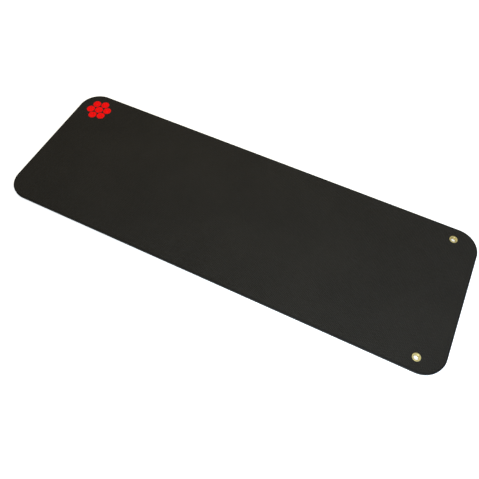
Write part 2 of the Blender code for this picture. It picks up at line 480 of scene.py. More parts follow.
def raised(graph, given, sheet):
    """Drops each point to its height, and lets the bumps beside a flange bulge over it."""
    drop = recall(graph, "drop", "FLOAT")
    chance = recall(graph, "chance", "FLOAT")
    place = place_of(graph)
    _, _, reach = outline_step(graph, given, place)
    inside = given["Corner radius"] - given["Rim radius"] - reach
    relief = graph.smooth(inside, 0.0, RIM_FADE, RIM_RELIEF, 1.0)
    step, reach = eyelet_step(graph, given, place)
    near = 1 - graph.smooth(reach - given["Seat radius"], 0.0, SEAT_FADE)
    relief = relief * (1 - near * SEAT_SQUEEZE)
    uneven = given["Unevenness"] * chance * (1 - drop)
    way = graph.along("NORMALIZE", step)
    to_end, _, _ = graph.split(way)
    dip = near ** 2.0 * SEAT_DIP * (1 - to_end * SEAT_LEAN)
    down = (given["Bump height"] * drop + uneven) * relief + dip
    x, y, _ = graph.split(place)
    height = given["Thickness"] - down
    over = graph.smooth(height - given["Flange top"], BULGE_FROM, BULGE_FULL) * near * BULGE
    back = graph.scaled(way, over * (0.5 + to_end * 0.5))
    back_x, back_y, _ = graph.split(back)
    new_place = graph.vector(x - back_x, y - back_y * y.math("SIGN"), height)
    return moved(graph, sheet, Position=new_place)


def bump_field(sizes, material):
    """The whole tree: tiles, trimming, heights, sharp valleys and the foam material."""
    graph = Graph(bpy.data.node_groups.new("bump_field", "GeometryNodeTree"))
    given = tree_inputs(graph, sizes)
    sheet = raised(graph, given, trimmed(graph, given, honeycomb(graph, given)))
    valley = recall(graph, "valley", "BOOLEAN")
    sheet = graph.node("GeometryNodeSetShadeSmooth", {"domain": "EDGE"}, {
        "Geometry": sheet, "Selection": valley, "Shade Smooth": False,
    })
    sheet = graph.node("GeometryNodeRealizeInstances", {}, (sheet,))
    sheet = graph.node("GeometryNodeSetMaterial", {}, {"Geometry": sheet, "Material": material})
    graph.node("NodeGroupOutput", {}, (sheet,))
    return graph.tree


print("the bump field's tree is ready to be built")

# %% [markdown]
# ## Finish of the foam
#
# The foam is near black with a warm cast, and quite matt: its skin is a crust of burst cells, a few
# tenths of a millimetre wide. Three things keep it from looking like plastic. The crust scatters in
# the small, so it gets a fine bump and fine specks of tone. The tops of the bumps are lighter than the
# valleys, partly from rubbed dust and partly as a painted highlight, the valleys are darkened as
# painted shade, and where the foam is cut or pressed, along the rim and round the flanges, the colour
# is darkest, which is painted shade too. And the batch isn't quite even, so the tone drifts over tens
# of centimetres. Everything reads Object coordinates, which are metres on the mat.
#
# One corner carries a red print. Its design here is a plain one: six round dots about a seventh,
# worn a little where the bumps stand highest.

# %% Print
PRINT_X, PRINT_Y = -0.775, 0.219
DOT_RADIUS = 17.0 * MM
DOT_SPACING = 36.5 * MM
FIRST_DOT = 15
INK_EDGE = 0.35 * MM
PRINT_RED = (1.0, 0.0, 0.0, 1.0)


def print_mask(graph, x, y):
    """1 on the printed dots, 0 elsewhere, with the slightly soft edge of ink on foam."""
    nearest = None
    for dot_x, dot_y, _ in [(0.0, 0.0, 0.0)] + ring_of(6, FIRST_DOT, DOT_SPACING):
        away = graph.vector(x - (PRINT_X + dot_x), y - (PRINT_Y + dot_y))
        length = graph.length(away)
        nearest = nearest.math("MINIMUM", length) if nearest else length
    return 1 - graph.smooth(nearest, DOT_RADIUS - INK_EDGE, DOT_RADIUS + INK_EDGE)


print("the print is %.0f mm across" % (2 * (DOT_SPACING + DOT_RADIUS) / MM))

# %% Tones and depths of the foam
FOAM_DARK = (0.0138, 0.0114, 0.0089, 1.0)
FOAM_LIGHT = (0.0226, 0.0192, 0.0151, 1.0)
# the deep foam tone is painted shade, used in the valleys, along the rim and round the seats
FOAM_PAINTED_SHADE = (0.0040, 0.0034, 0.0028, 1.0)
# the dust tone is partly dust and partly a painted highlight on the bump tops
FOAM_DUST_AND_HIGHLIGHT = (0.056, 0.048, 0.037, 1.0)
DRIFT_SCALE, CRUST_SCALE, CELL_SCALE = 4.0, 420.0, 1500.0
# painted shade: how far round each seat and inside the rim the colour is darkened
SEAT_PAINTED_SHADE_RANGE = SEAT_RADIUS, SEAT_RADIUS + 5 * MM
RIM_PAINTED_SHADE_RANGE = CORNER_RADIUS - 8 * MM, CORNER_RADIUS - 4 * MM
TOPS = THICKNESS - 1.5 * MM, THICKNESS
ABOVE_VALLEYS = THICKNESS - 2.2 * MM, THICKNESS - 0.9 * MM
BELOW_VALLEYS = THICKNESS - 3.2 * MM, THICKNESS - 2.6 * MM
DRIFT_RANGE, RUBBED_AND_HIGHLIGHT_RANGE, WORN_RANGE = (0.3, 0.7), (0.40, 0.60), (0.60, 0.70)
VALLEY_PAINTED_SHADE_SHARE, DUST_AND_HIGHLIGHT_SHARE, EDGE_PAINTED_SHADE_SHARE, SEAT_PAINTED_SHADE_SHARE, WEAR_SHARE = 0.6, 0.45, 0.9, 0.6, 0.2
FOAM_ROUGHNESS, CELL_ROUGHNESS, INK_ROUGHNESS = 0.78, 0.25, 0.1
CRUST_RELIEF, CELL_RELIEF = 0.6, 0.4
FOAM_GRAIN = 0.35 * MM
print("lighter from %.1f mm up, dark from %.1f mm inside the outline" % (
    TOPS[0] / MM, (CORNER_RADIUS - RIM_PAINTED_SHADE_RANGE[0]) / MM))


# %% Foam material
def new_material(name):
    """A material, its empty graph, and the wire of its Object coordinates."""
    material = bpy.data.materials.new(name)
    material.use_nodes = True
    graph = Graph(material.node_tree)
    return material, graph, graph.node("ShaderNodeTexCoord", take="Object")


def foam_material():
    material, graph, place = new_material("closed_cell_foam")
    x, y, z = graph.split(place)
    drift = graph.smooth(graph.noise(place, DRIFT_SCALE, detail=3.0), *DRIFT_RANGE)
    cells = graph.noise(place, CELL_SCALE, detail=2.0, roughness=0.6)
    crust = graph.noise(place, CRUST_SCALE, detail=3.0, roughness=0.65)
    # painted shade: the colour darkens round each flange's seat and along the cut rim
    seat_painted_shade = 1 - graph.smooth(eyelet_step(graph, FIELD, place)[-1], *SEAT_PAINTED_SHADE_RANGE)
    rim_painted_shade = graph.smooth(outline_step(graph, FIELD, place)[-1], *RIM_PAINTED_SHADE_RANGE)
    edge_painted_shade = rim_painted_shade.math("MAXIMUM", seat_painted_shade * SEAT_PAINTED_SHADE_SHARE)
    top = graph.smooth(z, *TOPS)
    # painted shade: the valleys between the bumps are darkened in colour
    valley = graph.smooth(z, *BELOW_VALLEYS) * (1 - graph.smooth(z, *ABOVE_VALLEYS))
    # partly dust, partly a painted highlight: the rubbed bump tops are lighter in colour
    rubbed_dust_and_highlight = top * graph.smooth(crust, *RUBBED_AND_HIGHLIGHT_RANGE)
    colour = graph.mix(drift * 0.5 + cells * 0.5, FOAM_DARK, FOAM_LIGHT)
    colour = graph.mix(valley * VALLEY_PAINTED_SHADE_SHARE, colour, FOAM_PAINTED_SHADE)
    colour = graph.mix(rubbed_dust_and_highlight * DUST_AND_HIGHLIGHT_SHARE, colour, FOAM_DUST_AND_HIGHLIGHT)
    colour = graph.mix(edge_painted_shade * EDGE_PAINTED_SHADE_SHARE, colour, FOAM_PAINTED_SHADE)
    worn = graph.smooth(crust, *WORN_RANGE) * top
    ink = print_mask(graph, x, y) * (1 - worn * WEAR_SHARE)
    colour = graph.mix(ink, colour, PRINT_RED)
    roughness = FOAM_ROUGHNESS + (cells - 0.5) * CELL_ROUGHNESS + ink * INK_ROUGHNESS
    graph.surface({
        "Base Color": colour, "Roughness": roughness, "IOR": 1.45, "Specular IOR Level": 0.29,
        "Normal": graph.grain(crust * CRUST_RELIEF + cells * CELL_RELIEF, FOAM_GRAIN),
    })
    return material


foam = foam_material()
print("foam nodes:", len(foam.node_tree.nodes))


# %% [markdown]
# ## From tree to plain mesh
#
# The tree is put on a carrier object as a modifier, its inputs are set by the sockets' identifiers,
# and the evaluated result is copied to a plain mesh. The carrier, the modifier and the tile then go,
# so that nothing live is left on the piece.

# %% Evaluate the field
def evaluated_mesh(name, tree, sizes):
    """The plain mesh that a tree makes of these sizes."""
    carrier = new_object(name, bpy.data.meshes.new(name))
    modifier = carrier.modifiers.new(name, "NODES")
    modifier.node_group = tree
    for item in tree.interface.items_tree:
        if item.in_out == "INPUT":
            modifier[item.identifier] = sizes[item.name]
    bpy.context.view_layer.update()
    depsgraph = bpy.context.evaluated_depsgraph_get()
    mesh = bpy.data.meshes.new_from_object(carrier.evaluated_get(depsgraph))
    bpy.data.objects.remove(carrier, do_unlink=True)
    return mesh


field = evaluated_mesh("bump_field", bump_field(FIELD, foam), FIELD)
bpy.data.objects.remove(tile, do_unlink=True)
print("field:", len(field.vertices), "points,", len(field.polygons), "faces")


# %% [markdown]
# ## Closing the slab
#
# The field is an open sheet with three borders: the outline, and a circle at each eyelet. Foam is a
# solid, so each border is carried on in rings. The outer one goes over the rounded rim, down the cut
# side and under. Each inner one goes down the seat that the flange is pressed into, through the bore,
# and out again to the washer's seat below. The underside then closes the skin.
#
# The rings are plain arrays: a border of n points and k rings give n times k quads. This is simpler
# and safer than extruding with operators, and it lets each ring follow a formula.

# %% Borders of the field
def array_of(items, name, kind, width):
    values = np.empty(len(items) * width, kind)
    items.foreach_get(name, values)
    return values.reshape(-1, width)


def border_loops(triangles):
    """The borders as lists of points, in the direction of the faces beside them."""
    edges = np.concatenate([triangles[:, [0, 1]], triangles[:, [1, 2]], triangles[:, [2, 0]]])
    count = int(triangles.max()) + 1
    key = edges[:, 0].astype(np.int64) * count + edges[:, 1]
    back = edges[:, 1].astype(np.int64) * count + edges[:, 0]
    border = edges[~np.isin(key, back)]
    following = dict(zip(border[:, 0].tolist(), border[:, 1].tolist()))
    loops = []
    while following:
        here = next(iter(following))
        loop = []
        while here in following:
            loop.append(here)
            here = following.pop(here)
        loops.append(loop)
    return sorted(loops, key=len, reverse=True), len(border)


field_points = array_of(field.vertices, "co", np.float32, 3).astype(np.float64)
field_faces = array_of(field.loops, "vertex_index", np.int32, 1).reshape(-1, 3)
loops, border_size = border_loops(field_faces)
print("borders:", [len(loop) for loop in loops], "of", border_size, "edges")

# %% [markdown]
# Where tiles were drawn back onto a border, a few of its points changed places, so the border doubles
# back on itself for a fraction of a millimetre. To mend that, each point gets its run along the
# border, the runs are put in order with a small gap between them, and the points go where their runs
# say. On the outline a run is easy to turn into a place and back: between the ends of the four sides,
# both the point of the inner rectangle and the direction straight out change in step with the run.

# %% Borders put in order
QUARTER = math.pi / 2
OUTLINE_REACH = CORNER_RADIUS - RIM_RADIUS
SIDE_ENDS_X = INNER_X * np.array([1, 1, 1, -1, -1, -1, -1, 1, 1])
SIDE_ENDS_Y = INNER_Y * np.array([-1, 1, 1, 1, 1, -1, -1, -1, -1])
SIDE_ANGLES = QUARTER * np.array([0, 0, 1, 1, 2, 2, 3, 3, 4])
SIDE_RUNS = OUTLINE_REACH * SIDE_ANGLES
SIDE_RUNS[1:] += np.cumsum(np.abs(np.diff(SIDE_ENDS_X)) + np.abs(np.diff(SIDE_ENDS_Y)))
BORDER_GAP = 0.1 * MM


def outline_runs(xy):
    """How far along the outline each point lies, from the near end of the right side."""
    inner = np.clip(xy, [-INNER_X, -INNER_Y], [INNER_X, INNER_Y])
    step = xy - inner
    angle = np.arctan2(step[:, 1], step[:, 0]) % (4 * QUARTER)
    x, y = inner[:, 0], inner[:, 1]
    sides = [INNER_Y + y, 2 * INNER_Y + INNER_X - x, 3 * INNER_Y + 2 * INNER_X - y,
             4 * INNER_Y + 3 * INNER_X + x, 5 * INNER_Y + 4 * INNER_X + y]
    return OUTLINE_REACH * angle + np.choose(np.rint(angle / QUARTER).astype(int), sides)


def outline_places(runs):
    """The points of the outline at these runs, and unit steps straight out of it there."""
    inner = [np.interp(runs, SIDE_RUNS, ends) for ends in (SIDE_ENDS_X, SIDE_ENDS_Y)]
    angle = np.interp(runs, SIDE_RUNS, SIDE_ANGLES)
    out = np.column_stack([np.cos(angle), np.sin(angle)])
    return np.column_stack(inner) + OUTLINE_REACH * out, out


def in_order(values, gap):
    """The values, moved as little as it takes to make each a gap larger than the last."""
    steps = gap * np.arange(len(values))
    level = values - steps
    highest_before = np.maximum.accumulate(level)
    lowest_after = np.minimum.accumulate(level[::-1])[::-1]
    return (highest_before + lowest_after) / 2 + steps


def ordered_outline(points, loop):
    """Moves the outline's points, and gives the loop from the near end of the right side."""
    runs = outline_runs(points[loop, :2])
    first = int(np.argmin(runs))
    loop = loop[first:] + loop[:first]
    points[loop, :2] = outline_places(in_order(np.roll(runs, -first), BORDER_GAP))[0]
    return loop


def ordered_seat(points, loop, centre):
    """The same for a seat, whose border runs backwards round its centre."""
    away = points[loop, :2] - centre
    reach = np.linalg.norm(away, axis=1)
    angle = -np.arctan2(away[:, 1], away[:, 0])
    first = int(np.argmin(angle))
    loop = loop[first:] + loop[:first]
    reach, angle = np.roll(reach, -first), in_order(np.roll(angle, -first), BORDER_GAP / SEAT_RADIUS)
    points[loop, :2] = centre + reach[:, None] * np.column_stack([np.cos(angle), -np.sin(angle)])
    return loop


loops[0] = ordered_outline(field_points, loops[0])
seat_centres = [None]
for place in (1, 2):
    side = math.copysign(EYELET_Y, field_points[loops[place], 1].mean())
    seat_centres.append(np.array([EYELET_X, side]))
    loops[place] = ordered_seat(field_points, loops[place], seat_centres[place])
print("outline: %.3f m in %d steps" % (SIDE_RUNS[-1], len(loops[0])))

# %% [markdown]
# A ring is the border moved by a formula. The rim turns over a quarter circle, and the waves that the
# cut bumps leave on the border die away as it turns.

# %% Rings of the rim and the side
RIM_STEPS = 5
SIDE_STEPS = 4


def rim_rings(border):
    """Over the rim, down the side and under, ending on the underside."""
    base, out = outline_places(outline_runs(border[:, :2]))
    wave = border[:, 2] - THICKNESS
    turns = [QUARTER * step / RIM_STEPS for step in range(1, RIM_STEPS + 1)]
    side_low, side_high = RIM_RADIUS, THICKNESS - RIM_RADIUS
    side = np.linspace(side_high, side_low, SIDE_STEPS + 1)[1:]
    profile = [(math.sin(a), side_high + RIM_RADIUS * math.cos(a), math.cos(a) ** 2) for a in turns]
    profile += [(1.0, height, 0.0) for height in side]
    profile += [(math.cos(a), side_low - RIM_RADIUS * math.sin(a), 0.0) for a in turns]
    return [np.column_stack([base + out * RIM_RADIUS * reach, height + wave * waviness])
            for reach, height, waviness in profile]


print("rim rings:", 2 * RIM_STEPS + SIDE_STEPS)

# %% [markdown]
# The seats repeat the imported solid's profile: a groove for the flange's turned-down rim, a land under
# the flange, a flare into the bore, another land over the washer, and a round lip underneath. Most of
# it is out of sight, but a hollow under the flange keeps the foam from cutting through the brass.

# %% Rings of the seats
SEAT_TOP = FLANGE_TOP - 0.2 * MM
GROOVE_FLOOR = FLANGE_TOP - 1.5 * MM
UPPER_LAND = FLANGE_TOP - 1.0 * MM
LOWER_LAND = washer_low.z + 0.9 * MM
GROOVE_RADIUS = 13.8 * MM
FLARE_RADIUS, FLARE_DEPTH = 11.0 * MM, 0.75 * MM
BORE_RADIUS = 10.8 * MM
NECK_ROOM = 1.3 * MM
WASHER_SEAT = WASHER_RADIUS + SEAT_GAP
SEAT_PROFILE = [
    (SEAT_RADIUS, SEAT_TOP), (SEAT_RADIUS, GROOVE_FLOOR),
    (GROOVE_RADIUS, GROOVE_FLOOR), (GROOVE_RADIUS, UPPER_LAND),
    (FLARE_RADIUS, UPPER_LAND), (BORE_RADIUS, UPPER_LAND - FLARE_DEPTH),
    (BORE_RADIUS, LOWER_LAND + NECK_ROOM), (BORE_RADIUS + NECK_ROOM, LOWER_LAND),
    (WASHER_SEAT, LOWER_LAND),
]
BORDER_STEP = 0.15 * MM
LIP_RADIUS = 1.6 * MM
LIP_STEPS = 5
LOWER_MOUTH = WASHER_SEAT + LIP_RADIUS


def seat_rings(border, centre):
    """From the border above the flange, down through the bore, to the underside."""
    away = border[:, :2] - centre
    away /= np.linalg.norm(away, axis=1)[:, None]
    profile = list(SEAT_PROFILE)
    for step in range(LIP_STEPS + 1):
        angle = QUARTER * step / LIP_STEPS
        height = LIP_RADIUS * (1 - math.sin(angle))
        profile.append((LOWER_MOUTH - LIP_RADIUS * math.cos(angle), height))
    rings = [np.column_stack([centre + away * r, np.full(len(away), z)]) for r, z in profile]
    rings[0][:, 2] = np.minimum(rings[0][:, 2], border[:, 2] - BORDER_STEP)
    return rings


print("seat rings:", len(SEAT_PROFILE) + LIP_STEPS + 1)


# %% Carry the borders on
def carried_on(points, loop, rings):
    """Quads from a border through its rings. Gives all points, the quads, and each ring's points."""
    here = np.array(loop)
    quads = []
    indices = []
    for ring in rings:
        after = np.arange(len(ring)) + len(points)
        points = np.concatenate([points, ring])
        quads.append(np.column_stack([np.roll(here, -1), here, after, np.roll(after, -1)]))
        indices.append(after)
        here = after
    return points, np.concatenate(quads), indices


def ribbon(border, rings):
    """Each quad's corners on a ribbon: how far along the border, and how far down from it."""
    along = np.linalg.norm(np.roll(border, -1, axis=0) - border, axis=1)
    start = np.cumsum(along) - along
    lines = [border] + rings
    steps = [np.linalg.norm(b - a, axis=1).mean() for a, b in zip(lines, lines[1:])]
    down = np.concatenate([[0], np.cumsum(steps)])
    places = []
    for upper, lower in zip(down, down[1:]):
        corners = [(start + along, upper), (start, upper), (start, lower), (start + along, lower)]
        pairs = [np.column_stack([u, np.full(len(u), v)]) for u, v in corners]
        places.append(np.stack(pairs, axis=1))
    return np.concatenate(places)


skin_points = field_points
skin_quads = []
ribbons = []
last_rings = []
corner_rings = []
for place, loop in enumerate(loops):
    border = field_points[loop]
    rings = seat_rings(border, seat_centres[place]) if place else rim_rings(border)
    skin_points, quads, indices = carried_on(skin_points, loop, rings)
    skin_quads.append(quads)
    ribbons.append(ribbon(border, rings))
    last_rings.append(indices[-1])
    corner_rings += indices[:len(SEAT_PROFILE)] if place else []
skin_quads = np.concatenate(skin_quads)
print("quads in the rings:", len(skin_quads))
print("ribbons in mm:", [(places.max(axis=(0, 1)) / MM).round(1).tolist() for places in ribbons])

# %% [markdown]
# The underside is a flat sheet with two round holes. A triangulation that keeps the last rings as its
# borders fills it, with a loose grid of points inside so that its triangles stay near even.

# %% Underside
UNDERSIDE_STEP = 20 * MM
RIM_MARGIN, WASHER_MARGIN = 8 * MM, 24 * MM
INSIDE_BORDERS, TOUCHING = 1, 1e-7


def off_axis(spots):
    """How far each spot is from the nearer eyelet's axis."""
    return np.hypot(spots[:, 0] - EYELET_X, np.abs(spots[:, 1]) - EYELET_Y)


def grid_inside(step):
    """A grid of points on the underside, clear of its border and of the washers."""
    across = np.arange(step - LENGTH / 2, LENGTH / 2, step)
    up = np.arange(step - WIDTH / 2, WIDTH / 2, step)
    spots = np.stack(np.meshgrid(across, up), axis=-1).reshape(-1, 2)
    reach = np.linalg.norm(np.maximum(np.abs(spots) - [INNER_X, INNER_Y], 0), axis=1)
    clear = off_axis(spots) > WASHER_MARGIN
    return spots[(reach < CORNER_RADIUS - RIM_MARGIN) & clear]


def underside(points, rings):
    """Triangles between the rings, facing down, and the points that they add."""
    borders = np.concatenate(rings)
    flat = np.concatenate([points[borders, :2], grid_inside(UNDERSIDE_STEP)])
    edges = []
    for ring in rings:
        first = len(edges)
        edges += [(first + n, first + (n + 1) % len(ring)) for n in range(len(ring))]
    spots = [Vector(spot) for spot in flat]
    found = delaunay_2d_cdt(spots, edges, [], INSIDE_BORDERS, TOUCHING)
    assert len(found[0]) == len(flat), "points of the underside lie on each other"
    faces = np.array(found[2])
    hole = off_axis(flat[faces].mean(axis=1)) < LOWER_MOUTH
    added = np.column_stack([flat[len(borders):], np.zeros(len(flat) - len(borders))])
    index = np.concatenate([borders, np.arange(len(added)) + len(points)])
    return np.concatenate([points, added]), index[faces[~hole][:, ::-1]]


foam_points, cap_faces = underside(skin_points, last_rings)
print("underside:", len(cap_faces), "triangles")

# %% [markdown]
# All the faces go into one mesh. Its edges then exist for the first time, so this is where the sharp
# ones are marked: the valleys between bumps, the corners inside the seats, and the underside's border.
# Each edge is known by a single number made of its two points, which makes the lookup quick.

# %% One closed mesh
MOST_POINTS = 10_000_000


def edge_keys(pairs):
    low_first = np.sort(np.asarray(pairs, np.int64).reshape(-1, 2), axis=1)
    return low_first[:, 0] * MOST_POINTS + low_first[:, 1]


def mesh_from(name, points, triangles, quads):
    """A smooth mesh from arrays. Its quads come after its triangles."""
    mesh = bpy.data.meshes.new(name)
    corners = np.concatenate([triangles.ravel(), quads.ravel()]).astype(np.int32)
    sizes = np.concatenate([np.full(len(triangles), 3), np.full(len(quads), 4)])
    starts = np.concatenate([[0], np.cumsum(sizes)[:-1]]).astype(np.int32)
    mesh.vertices.add(len(points))
    mesh.vertices.foreach_set("co", points.astype(np.float32).ravel())
    mesh.loops.add(len(corners))
    mesh.loops.foreach_set("vertex_index", corners)
    mesh.polygons.add(len(sizes))
    mesh.polygons.foreach_set("loop_start", starts)
    mesh.update(calc_edges=True)
    mesh.validate()
    mesh.shade_smooth()
    return mesh


def mark_sharp(mesh, keys):
    """Keeps the edges with these keys sharp under smooth shading."""
    pairs = array_of(mesh.edges, "vertices", np.int32, 2)
    sharp = np.isin(edge_keys(pairs), keys)
    mesh.attributes.new("sharp_edge", "BOOLEAN", "EDGE").data.foreach_set("value", sharp)
    return int(sharp.sum())


field_edges = array_of(field.edges, "vertices", np.int32, 2)
field_sharp = array_of(field.attributes["sharp_edge"].data, "value", bool, 1).ravel()
border_points = np.isin(field_edges, np.concatenate(loops)).all(axis=1)
sharp_keys = [edge_keys(field_edges[field_sharp & ~border_points])]
for ring in corner_rings + last_rings:
    sharp_keys.append(edge_keys(np.column_stack([ring, np.roll(ring, -1)])))
foam_triangles = np.concatenate([field_faces, cap_faces])
foam_mesh = mesh_from("foam_slab", foam_points, foam_triangles, skin_quads)
sharp_count = mark_sharp(foam_mesh, np.concatenate(sharp_keys))
foam_mesh.materials.append(foam)
bpy.data.meshes.remove(field)
print("foam:", len(foam_mesh.polygons), "faces,", sharp_count, "sharp edges")


def open_edges(mesh):
    """How many edges don't have exactly two faces, and the volume inside."""
    shape = bmesh.new()
    shape.from_mesh(mesh)
    count = sum(not edge.is_manifold for edge in shape.edges)
    volume = shape.calc_volume(signed=True)
    shape.free()
    return count, volume


print("open edges and volume:", open_edges(foam_mesh))

# %% [markdown]
# ## A flat map of the foam
#
# When the finish is baked to pictures, each face needs its own place on a square. The mat is nearly
# flat, so the map is laid out at the mat's own scale: the two halves of the upper side next
# to each other, the underside at half size above them, and the rim and the seats as ribbons. The rim's
# ribbon is 4.5 m long, so it is cut into rows.

# %% Lay out the map
MAP_SIDE = 1.28
MAP_GAP = 6 * MM
ROW_LENGTH = 1.20
SEAT_COLUMN = 120 * MM


def upper_map(spots):
    """Corners of the upper side's triangles: the left half first, the right half beside it."""
    right = spots[:, :, 0].mean(axis=1) > 0
    u = spots[:, :, 1] + WIDTH / 2 + MAP_GAP + np.where(right, WIDTH + MAP_GAP, 0)[:, None]
    v = spots[:, :, 0] + MAP_GAP + np.where(right, 0, LENGTH / 2)[:, None]
    return np.stack([u, v], axis=-1)


def rim_map(places, base):
    """The rim's ribbon, cut into rows."""
    row = np.floor(places[:, :, 0].min(axis=1) / ROW_LENGTH)
    height = places[:, :, 1].max() + MAP_GAP
    u = places[:, :, 0] - (row * ROW_LENGTH)[:, None] + MAP_GAP
    v = places[:, :, 1] + base + (row * height)[:, None]
    return np.stack([u, v], axis=-1)


def foam_map(mesh):
    """Gives the mesh its map, and tells how far that reaches."""
    corners = foam_points[foam_triangles]
    upper = upper_map(corners[:len(field_faces), :, :2])
    edge = LENGTH / 2 + 2 * MAP_GAP
    under = corners[len(field_faces):, :, :2] / 2
    under = under + np.array([LENGTH / 4 + MAP_GAP, WIDTH / 4 + edge])
    seats = [ribbons[1 + n] + np.array([edge + n * SEAT_COLUMN, edge]) for n in (0, 1)]
    rim = rim_map(ribbons[0], edge + WIDTH / 2 + MAP_GAP)
    places = np.concatenate([part.reshape(-1, 2) for part in (upper, under, rim, *seats)])
    layer = mesh.uv_layers.new(name="OFBake")
    layer.uv.foreach_set("vector", (places / MAP_SIDE).astype(np.float32).ravel())
    return places.max(axis=0)


print("map reaches", foam_map(foam_mesh).round(3), "of", MAP_SIDE, "m")

# %% [markdown]
# ## Turned brass
#
# Eyelet and washer are turned shapes: a bent line of sheet metal, carried round an axis. The packed
# solids have 36 steps in a turn, which shows as corners in a close view. Here the same bends are drawn
# again with four times the steps. A profile is the middle line of the sheet, moved to either side by
# half its thickness, with a half circle over each cut edge.

# %% Profiles of bent sheet
BEND_STEPS = 12
EDGE_STEPS = 8
TURN_STEPS = 144
EYELET_SHEET = 0.7 * MM
WASHER_SHEET = 0.6 * MM
BARREL_MIDDLE = 9.25 * MM
BARREL_END = 9.0 * MM
FLANGE_FLAT_END, RIM_BEND = 14.15 * MM, 0.5 * MM
FUNNEL_BEND, ROLL_BEND = 1.4 * MM, 0.8 * MM
ROLL_CENTRE = eyelet_low.z + EYELET_SHEET / 2 + ROLL_BEND
PLATE_END = 14.7 * MM
NECK_MIDDLE, NECK_BEND = 10.2 * MM, 1.3 * MM
NECK_TOP = washer_high.z - WASHER_SHEET / 2


def arc(centre, radius, start, sweep, steps=BEND_STEPS):
    turns = [start + sweep * step / steps for step in range(steps + 1)]
    return [(centre[0] + radius * math.cos(a), centre[1] + radius * math.sin(a)) for a in turns]


def beside(path, distance):
    """The path moved to its left."""
    path = np.array(path)
    ahead = np.concatenate([path[1:], path[-1:]]) - np.concatenate([path[:1], path[:-1]])
    ahead /= np.linalg.norm(ahead, axis=1)[:, None]
    return path + distance * np.column_stack([-ahead[:, 1], ahead[:, 0]])


def sheet_profile(middle, sheet):
    """The closed outline of a bent sheet, from its middle line."""
    sides = [beside(middle, sheet / 2), beside(middle, -sheet / 2)[::-1]]
    ends = []
    for before, end in ((middle[-2], middle[-1]), (middle[1], middle[0])):
        heading = math.atan2(end[1] - before[1], end[0] - before[0])
        ends.append(arc(end, sheet / 2, heading + QUARTER, -2 * QUARTER, EDGE_STEPS)[1:-1])
    return np.concatenate([sides[0], ends[0], sides[1], ends[1]])


def eyelet_middle():
    """From the turned-down rim, over the funnel, down the barrel and round the rolled end."""
    top = FLANGE_TOP - EYELET_SHEET / 2
    line = arc((FLANGE_FLAT_END, top - RIM_BEND), RIM_BEND, 0, QUARTER)
    line += arc((BARREL_MIDDLE + FUNNEL_BEND, top - FUNNEL_BEND), FUNNEL_BEND, QUARTER, QUARTER)
    line += arc((BARREL_END + ROLL_BEND, ROLL_CENTRE), ROLL_BEND, 2 * QUARTER, 2 * QUARTER)
    return line


def washer_middle():
    """From the washer's outer edge, in along its plate, and up its neck."""
    plate = washer_low.z + WASHER_SHEET / 2
    line = [(PLATE_END, plate)]
    line += arc((NECK_MIDDLE + NECK_BEND, plate + NECK_BEND), NECK_BEND, -QUARTER, -QUARTER)
    return line + [(NECK_MIDDLE, NECK_TOP)]


print("eyelet profile:", len(sheet_profile(eyelet_middle(), EYELET_SHEET)), "points")


# %% Turn the profiles
def turned_mesh(name, profile, centre):
    """A closed mesh of a profile carried round a vertical axis at the centre."""
    turns = np.arange(TURN_STEPS) * 2 * math.pi / TURN_STEPS
    ring = np.column_stack([np.cos(turns), np.sin(turns)])
    count = len(profile)
    points = np.empty((TURN_STEPS, count, 3))
    points[:, :, :2] = ring[:, None, :] * profile[None, :, :1] + np.array(centre)
    points[:, :, 2] = profile[None, :, 1]
    step, place = np.meshgrid(np.arange(TURN_STEPS), np.arange(count), indexing="ij")
    after_step, after_place = (step + 1) % TURN_STEPS, (place + 1) % count
    corners = [step * count + place, step * count + after_place,
               after_step * count + after_place, after_step * count + place]
    quads = np.stack(corners, axis=-1).reshape(-1, 4)
    return mesh_from(name, points.reshape(-1, 3), np.empty((0, 3), int), quads)


turned = {}
for side, sign in (("far", 1), ("near", -1)):
    centre = (EYELET_X, sign * EYELET_Y)
    for kind, middle, sheet in (
        ("eyelet", eyelet_middle(), EYELET_SHEET), ("washer", washer_middle(), WASHER_SHEET),
    ):
        name = "turned_" + kind + "_" + side
        turned[kind + "_" + side] = turned_mesh(name, sheet_profile(middle, sheet), centre)
for node, mesh in turned.items():
    print(node, len(mesh.polygons), "faces, open edges and volume", open_edges(mesh))

# %% [markdown]
# ## Finish of the brass
#
# Pressed brass has a satin skin from the drawing die: on the flange it scatters evenly, and inside the
# barrel the die leaves fine upright lines. The funnel between them is rubbed bright by the punch. The
# barrel's colour is darker too, a painted shade in the bore. Here and there a dark speck sits in the
# surface. Both eyelets share one material: with Y folded to its absolute value, the step from an
# eyelet's centre and its length are the same for both.

# %% Brass material
BRASS = (0.76, 0.66, 0.32, 1.0)
# the darker brass tone, for the random cloud and the draw lines, and as painted shade inside the barrel
BRASS_DARK_AND_SHADE = (0.58, 0.45, 0.17, 1.0)
SPECK = (0.16, 0.10, 0.05, 1.0)
LINE_SCALE, CLOUD_SCALE, PIT_SCALE, SATIN_SCALE = 24.0, 260.0, 900.0, 2600.0
BARREL_FADE = 9.1 * MM, 9.8 * MM
FUNNEL_START = 9.1 * MM, 9.6 * MM
FUNNEL_END = 10.4 * MM, 11.0 * MM
CLOUD_RANGE, LINE_RANGE, PIT_RANGE = (0.35, 0.7), (0.42, 0.62), (0.73, 0.76)
CLOUD_SHARE, BORE_PAINTED_SHADE_SHARE, LINE_SHARE, PIT_SHARE = 0.45, 0.3, 0.8, 0.8
BRASS_ROUGHNESS, CLOUD_ROUGHNESS, FUNNEL_SHINE, PIT_ROUGHNESS = 0.50, 0.2, 0.2, 0.3
SATIN_RELIEF, LINE_RELIEF, LINE_STRETCH = 0.25, 1.2, 5
BRASS_GRAIN = 0.05 * MM


